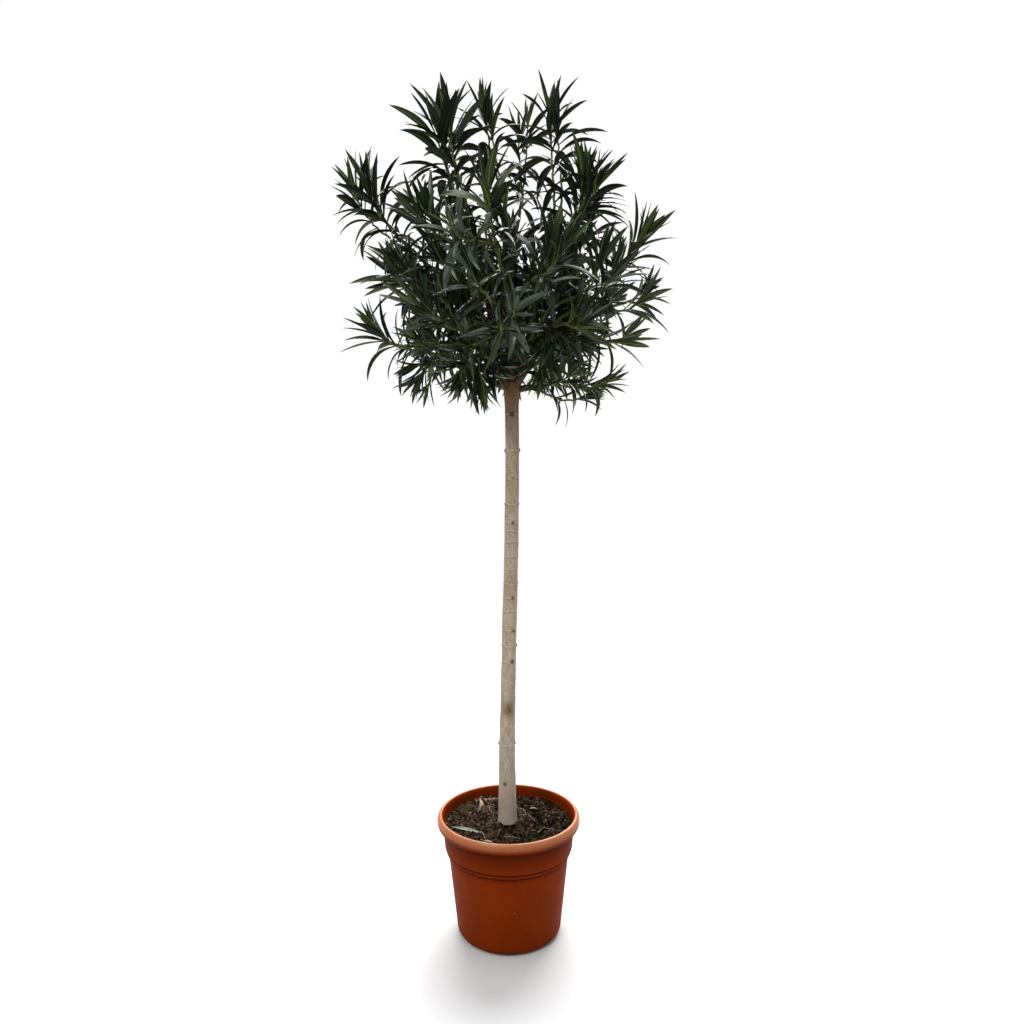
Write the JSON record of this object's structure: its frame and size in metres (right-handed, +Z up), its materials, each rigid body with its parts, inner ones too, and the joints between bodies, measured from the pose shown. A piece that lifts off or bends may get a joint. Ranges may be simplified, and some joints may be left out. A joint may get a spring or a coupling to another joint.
{
  "type": "potted oleander",
  "caption": "Oleander grown as a standard in a tapered moulded pot: one bare, slightly leaning trunk under a loose round crown of narrow evergreen leaves.",
  "frame": {"origin": "centre of the pot's flat underside, the face it stands on", "axes": "+Z up the trunk to the top of the crown; +X to the right as seen from the front, the way the trunk leans; +Y away from the viewer, to the back of the plant"},
  "size_m": [0.6652, 0.5804, 1.7759],
  "materials": {
    "pot_plastic": "satin",
    "potting_soil": "matte",
    "trunk_bark": "matte",
    "bough_bark": "matte",
    "foliage": "satin"
  },
  "bodies": {
    "root": {"pot": "pot_plastic", "soil": "potting_soil", "trunk": "trunk_bark", "bough_low_left": "bough_bark", "bough_low_right": "bough_bark", "bough_front_left": "bough_bark", "bough_front": "bough_bark", "bough_front_right": "bough_bark", "bough_back_right": "bough_bark", "bough_back": "bough_bark", "bough_back_left": "bough_bark", "bough_left": "bough_bark", "bough_high_left": "bough_bark", "bough_right": "bough_bark", "bough_high_right": "bough_bark", "bough_centre": "bough_bark", "foliage_top_left": "foliage", "foliage_left_mid": "foliage", "foliage_top_centre_left": "foliage", "foliage_top_centre_back": "foliage", "foliage_top_right": "foliage", "foliage_right_upper": "foliage", "foliage_far_right": "foliage", "foliage_right_low": "foliage", "foliage_right_mid": "foliage", "foliage_lower_right": "foliage", "foliage_front_low_right": "foliage", "foliage_bottom_right": "foliage", "foliage_far_left_upper": "foliage", "foliage_left_spray": "foliage", "foliage_far_left_back": "foliage", "foliage_lower_left": "foliage", "foliage_skirt_left": "foliage", "foliage_skirt_front_left": "foliage", "foliage_skirt_trunk_left": "foliage", "foliage_skirt_trunk_right": "foliage", "foliage_front_left_side": "foliage", "foliage_front_centre": "foliage", "foliage_front_low": "foliage", "foliage_front_right_side": "foliage", "foliage_back_upper_left": "foliage", "foliage_back_left_side": "foliage", "foliage_back_low_left": "foliage", "foliage_back_middle": "foliage", "foliage_back_skirt": "foliage", "foliage_back_upper": "foliage", "foliage_back_skirt_right": "foliage", "foliage_back_upper_right": "foliage", "foliage_back_right_side": "foliage", "foliage_back_low_right": "foliage"}
  },
  "joints": []
}
